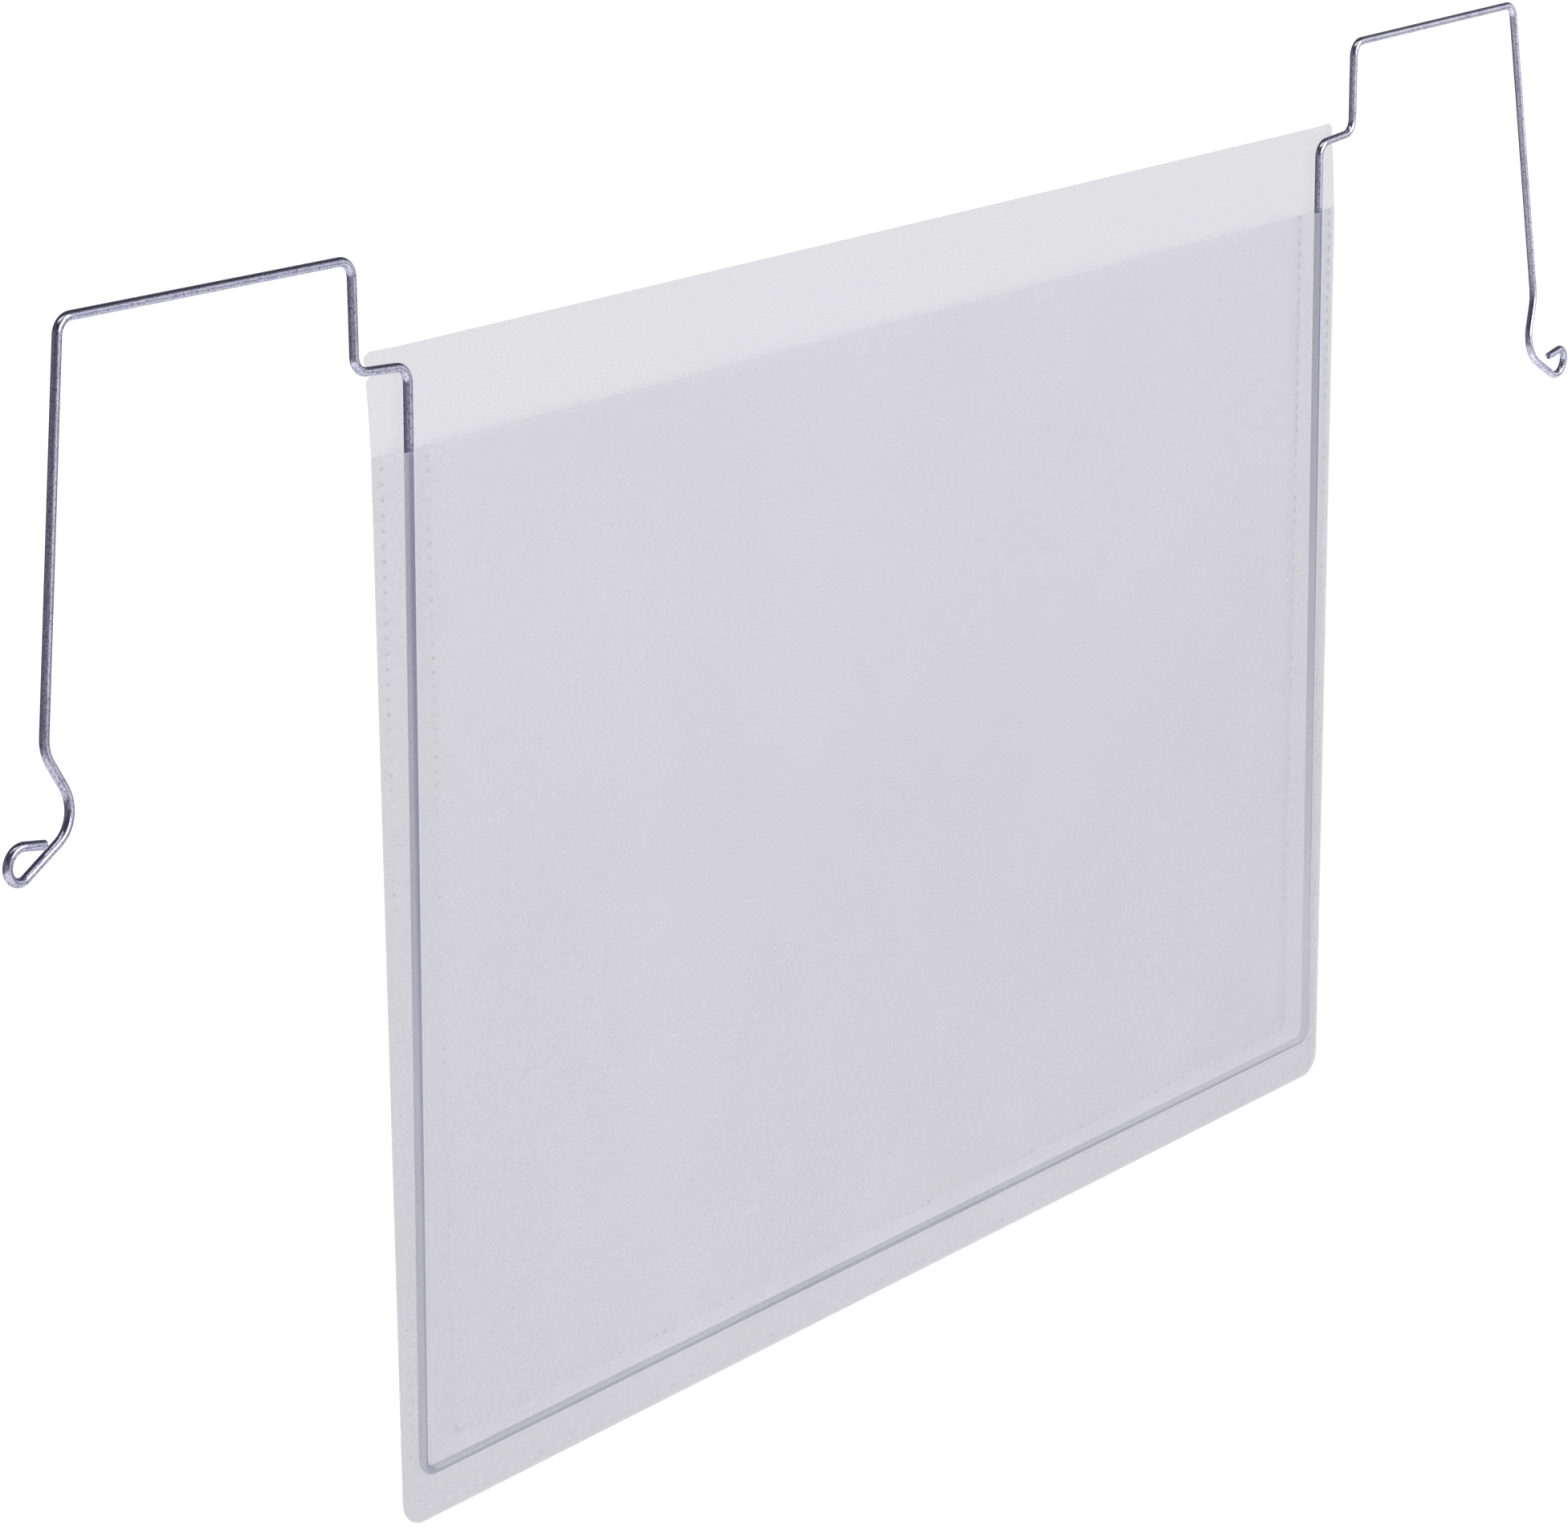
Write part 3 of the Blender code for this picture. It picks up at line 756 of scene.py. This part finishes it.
# The weld marks look grey near the mouth and pale farther down, unevenly
def makeMarkMaterial():
    material, tree, shader = newMaterial("weld mark")
    coords = addNode(tree, "ShaderNodeTexCoord")
    patches = addNode(tree, "ShaderNodeTexNoise", Scale=frontFilm["markPatches"], Detail=3.0, Roughness=0.6)
    tree.links.new(coords.outputs["Object"], patches.inputs["Vector"])
    split = addNode(tree, "ShaderNodeSeparateXYZ")
    tree.links.new(coords.outputs["Object"], split.inputs["Vector"])
    height = mapped(tree, split.outputs["Z"], *frontFilm["markHeights"], 0.0, 1.0, True)
    most = frontFilm["markUneven"]
    uneven = mapped(tree, patches.outputs["Fac"], 0.35, 0.65, -most, most)
    pale = maths(tree, "ADD", height, uneven, clamp=True)
    colour = mixedColour(tree, pale, frontFilm["highMark"], frontFilm["lowMark"])
    tree.links.new(colour, shader.inputs["Base Color"])
    shader.inputs["Alpha"].default_value = frontFilm["markAlpha"]
    shader.inputs["Roughness"].default_value = frontFilm["markRoughness"]
    return material


def makeFrontFilm():
    lines, touches = filmLines(film["frontTop"], frontFilm["seamY"], -1)
    inset = film["innerSeam"] + film["seamWidth"] / 2
    lines.append(evenLine(film["frontTop"], inset, film["seamCorner"], frontFilm["seamY"]))
    inset += frontFilm["panelStep"]
    lines.append(evenLine(film["frontTop"], inset, film["seamCorner"], frontFilm["panelY"]))
    shape, strips, panel = filmShape(lines, touches + [0, 0])
    # Weld marks: every first part of a pitch in both seams is pressed towards the back film
    pressed = strips[1][::2] + strips[-2][::2]
    marks = [face for face in pressed if straightRun(face)]
    rim = frontFilm["weldRim"]
    bmesh.ops.inset_individual(shape, faces=marks, thickness=rim, depth=0, use_even_offset=True)
    for vertex in {vertex for face in marks for vertex in face.verts}:
        vertex.co.y += frontFilm["weldDepth"]
    for face in marks:
        face.material_index = 2
    wavePanel(shape, panel, film["frontTop"], frontFilm["waveSeed"], frontFilm["waveHeight"])
    mesh = meshFrom("frontFilm", shape)
    piece = addPiece("frontFilm", mesh, "front_sheet")
    mesh.materials.append(makeFilmMaterial(frontFilm))
    mesh.materials.append(makeRimMaterial(frontFilm))
    mesh.materials.append(makeMarkMaterial())
    thicken(piece, -1)
    return piece


def straightRun(face):
    middle = face.calc_center_median()
    clear = film["innerSeam"] * frontFilm["markClear"]
    return min(abs(abs(middle.x) - film["halfWidth"]) + abs(middle.z - film["bottom"]), 1) > clear


frontPiece = makeFrontFilm()
print("front film made:", len(frontPiece.data.polygons), "faces")


# Camera, at the photograph's viewing angle

view = {
    "target": (-0.0462, 0.0, -0.1229),
    "azimuth": math.radians(52.51),
    "elevation": math.radians(15.83),
    "roll": math.radians(-0.45),
    "distance": 1.0433,
    "lens": 116.71,
    "sensorWidth": 36.0,
}


def makeCamera():
    azimuth, elevation, roll = view["azimuth"], view["elevation"], view["roll"]
    forward = Vector((
        math.sin(azimuth) * math.cos(elevation),
        math.cos(azimuth) * math.cos(elevation),
        -math.sin(elevation),
    ))
    level = Vector((math.cos(azimuth), -math.sin(azimuth), 0))
    upright = level.cross(forward)
    right = level * math.cos(roll) + upright * math.sin(roll)
    up = upright * math.cos(roll) - level * math.sin(roll)
    data = bpy.data.cameras.new("camera")
    data.lens = view["lens"]
    data.sensor_width = view["sensorWidth"]
    data.sensor_fit = "HORIZONTAL"
    data.clip_end = 100
    camera = bpy.data.objects.new("camera", data)
    turned = Matrix((right, up, -forward)).transposed().to_4x4()
    camera.matrix_world = Matrix.Translation(Vector(view["target"]) - forward * view["distance"]) @ turned
    bpy.context.scene.collection.objects.link(camera)
    bpy.context.scene.camera = camera


makeCamera()


# Studio: a plain pale floor far below, a soft dome and soft boxes

studio = {
    "floorZ": -0.9,
    "floorSize": 40.0,
    "floorColour": (0.45, 0.45, 0.45),
    "floorGlow": 0.72,
    "backdrop": (1.0, 1.0, 1.0),
    "shadeTint": (0.84, 0.81, 1.0),
    "tintShare": 1.6,
    "domeDiffuse": 0.985,
    "baseGlow": 0.18,
    # What the wire mirrors: the strength of each glow, and between which directions it fades in
    "glows": [
        (0.42, [("right", 0.55, 0.95)]),
        (0.50, [("right", 0.60, 0.90), ("height", -0.26, -0.08)]),
        (0.12, [("right", -0.50, -0.90), ("reader", -0.5, 0.2)]),
        (0.30, [("right", -0.80, -0.45), ("reader", -0.1, 0.3), ("height", 0.10, -0.05)]),
        (0.16, [("reader", -0.55, -0.95)]),
        (0.90, [("height", -0.32, -0.60)]),
        (3.20, [
            ("right", 0.45, 0.75), ("reader", -0.15, 0.10), ("height", 0.05, 0.20), ("height", 0.90, 0.78),
        ]),
        (2.60, [("height", 0.80, 0.93), ("reader", 0.02, 0.12)]),
    ],
    "shades": [(0.60, ("height", 0.22, 0.50))],
}


def makeFloor():
    shape = bmesh.new()
    bmesh.ops.create_grid(shape, x_segments=8, y_segments=8, size=studio["floorSize"] / 2)
    mesh = bpy.data.meshes.new("floor")
    shape.to_mesh(mesh)
    shape.free()
    floor = bpy.data.objects.new("floor", mesh)
    floor.location.z = studio["floorZ"]
    bpy.context.scene.collection.objects.link(floor)
    material, tree, shader = newMaterial("pale floor")
    shader.inputs["Base Color"].default_value = (*studio["floorColour"], 1.0)
    shader.inputs["Roughness"].default_value = 1.0
    shader.inputs["Specular IOR Level"].default_value = 0.0
    shader.inputs["Emission Color"].default_value = (1.0, 1.0, 1.0, 1.0)
    shader.inputs["Emission Strength"].default_value = studio["floorGlow"]
    mesh.materials.append(material)
    floor.visible_glossy = False  # the sheen and the wire mirror the studio instead
    floor.visible_diffuse = False


def makeWorld():
    world = bpy.data.worlds.new("studio")
    bpy.context.scene.world = world
    world.use_nodes = True
    tree = world.node_tree
    background = tree.nodes["Background"]
    coords = addNode(tree, "ShaderNodeTexCoord")
    azimuth = view["azimuth"]

    def towards(direction):
        node = addNode(tree, "ShaderNodeVectorMath", operation="DOT_PRODUCT")
        tree.links.new(coords.outputs["Generated"], node.inputs[0])
        node.inputs[1].default_value = direction
        return node.outputs["Value"]

    sides = {
        "reader": towards((-math.sin(azimuth), -math.cos(azimuth), 0)),
        "right": towards((math.cos(azimuth), -math.sin(azimuth), 0)),
        "height": towards((0, 0, 1)),
    }

    def share(side, low, high):
        return mapped(tree, sides[side], low, high, 0.0, 1.0, True)

    glow = None
    for strength, limits in studio["glows"]:
        part = None
        for limit in limits:
            part = share(*limit) if part is None else maths(tree, "MULTIPLY", part, share(*limit))
        part = maths(tree, "MULTIPLY", part, strength)
        glow = part if glow is None else maths(tree, "ADD", glow, part)
    glow = maths(tree, "ADD", glow, studio["baseGlow"])
    for least, limit in studio["shades"]:
        side, low, high = limit
        glow = maths(tree, "MULTIPLY", glow, mapped(tree, sides[side], low, high, 1.0, least, True))
    rays = addNode(tree, "ShaderNodeLightPath")
    glossyGlow = maths(tree, "MULTIPLY", glow, rays.outputs["Is Glossy Ray"])
    diffuseGlow = maths(tree, "MULTIPLY", rays.outputs["Is Diffuse Ray"], studio["domeDiffuse"])
    total = maths(tree, "ADD", maths(tree, "ADD", glossyGlow, diffuseGlow), rays.outputs["Is Camera Ray"])
    brightness = maths(tree, "MULTIPLY", total, studio["tintShare"], clamp=True)
    tint = mixedColour(tree, brightness, studio["shadeTint"], studio["backdrop"])
    tree.links.new(tint, background.inputs["Color"])
    tree.links.new(total, background.inputs["Strength"])


def makeSoftBox(name, place, aim, size, power, shines):
    data = bpy.data.lights.new(name, "AREA")
    data.shape = "RECTANGLE"
    data.size, data.size_y = size
    data.energy = power
    light = bpy.data.objects.new(name, data)
    direction = Vector(aim) - Vector(place)
    light.location = place
    light.rotation_euler = direction.to_track_quat("-Z", "Y").to_euler()
    bpy.context.scene.collection.objects.link(light)
    light.visible_glossy = shines


makeFloor()
makeWorld()
makeSoftBox("topLight", (0, -0.1, 1.0), (0, 0, -0.03), (1.2, 1.2), 4, False)
makeSoftBox("keyLight", (-0.35, -0.55, 0.55), (-0.05, 0, -0.03), (0.4, 0.3), 0.3, False)
bpy.context.scene.view_settings.view_transform = "Standard"
print("studio set")
